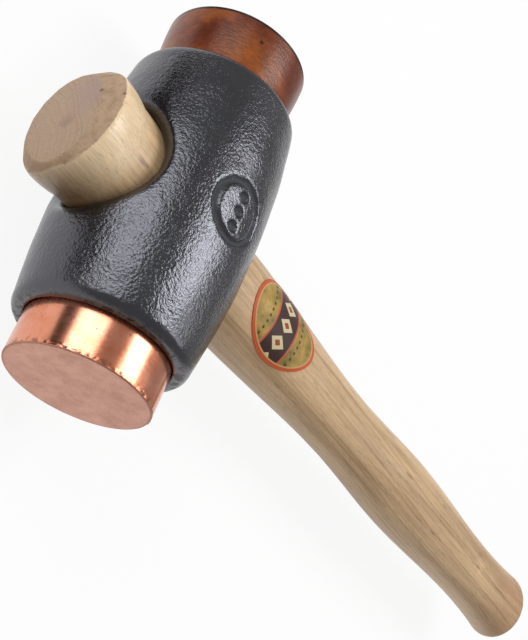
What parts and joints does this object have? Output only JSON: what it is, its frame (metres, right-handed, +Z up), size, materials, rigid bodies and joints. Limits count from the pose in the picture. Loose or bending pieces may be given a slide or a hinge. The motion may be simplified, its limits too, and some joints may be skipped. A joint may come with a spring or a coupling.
{
  "type": "copper and rawhide hammer",
  "caption": "Copper and rawhide faced hammer: cast iron barrel head with a copper face and a rolled hide face pressed in, on an ash handle jammed in a tapered eye.",
  "frame": {"origin": "on the surface the hammer lies on, below the middle of its overall box", "axes": "+X along the head towards the copper face, +Y along the handle from the head to the butt, +Z up through the cheek of the head"},
  "size_m": [0.1402, 0.361, 0.0686],
  "materials": {
    "black_casting": "black gloss enamel over a fine sand-cast skin",
    "copper": "turned and polished copper side, matt pinkish striking face",
    "rawhide": "varnished red-brown rolled hide",
    "ash_wood": "pale ash, satin, open end grain on the stub",
    "label_paper": "printed gold paper with an orange-red rim"
  },
  "bodies": {
    "root": {"head_casting": "black_casting", "copper_face": "copper", "rawhide_face": "rawhide", "handle": "ash_wood", "handle_label": "label_paper"}
  },
  "joints": []
}
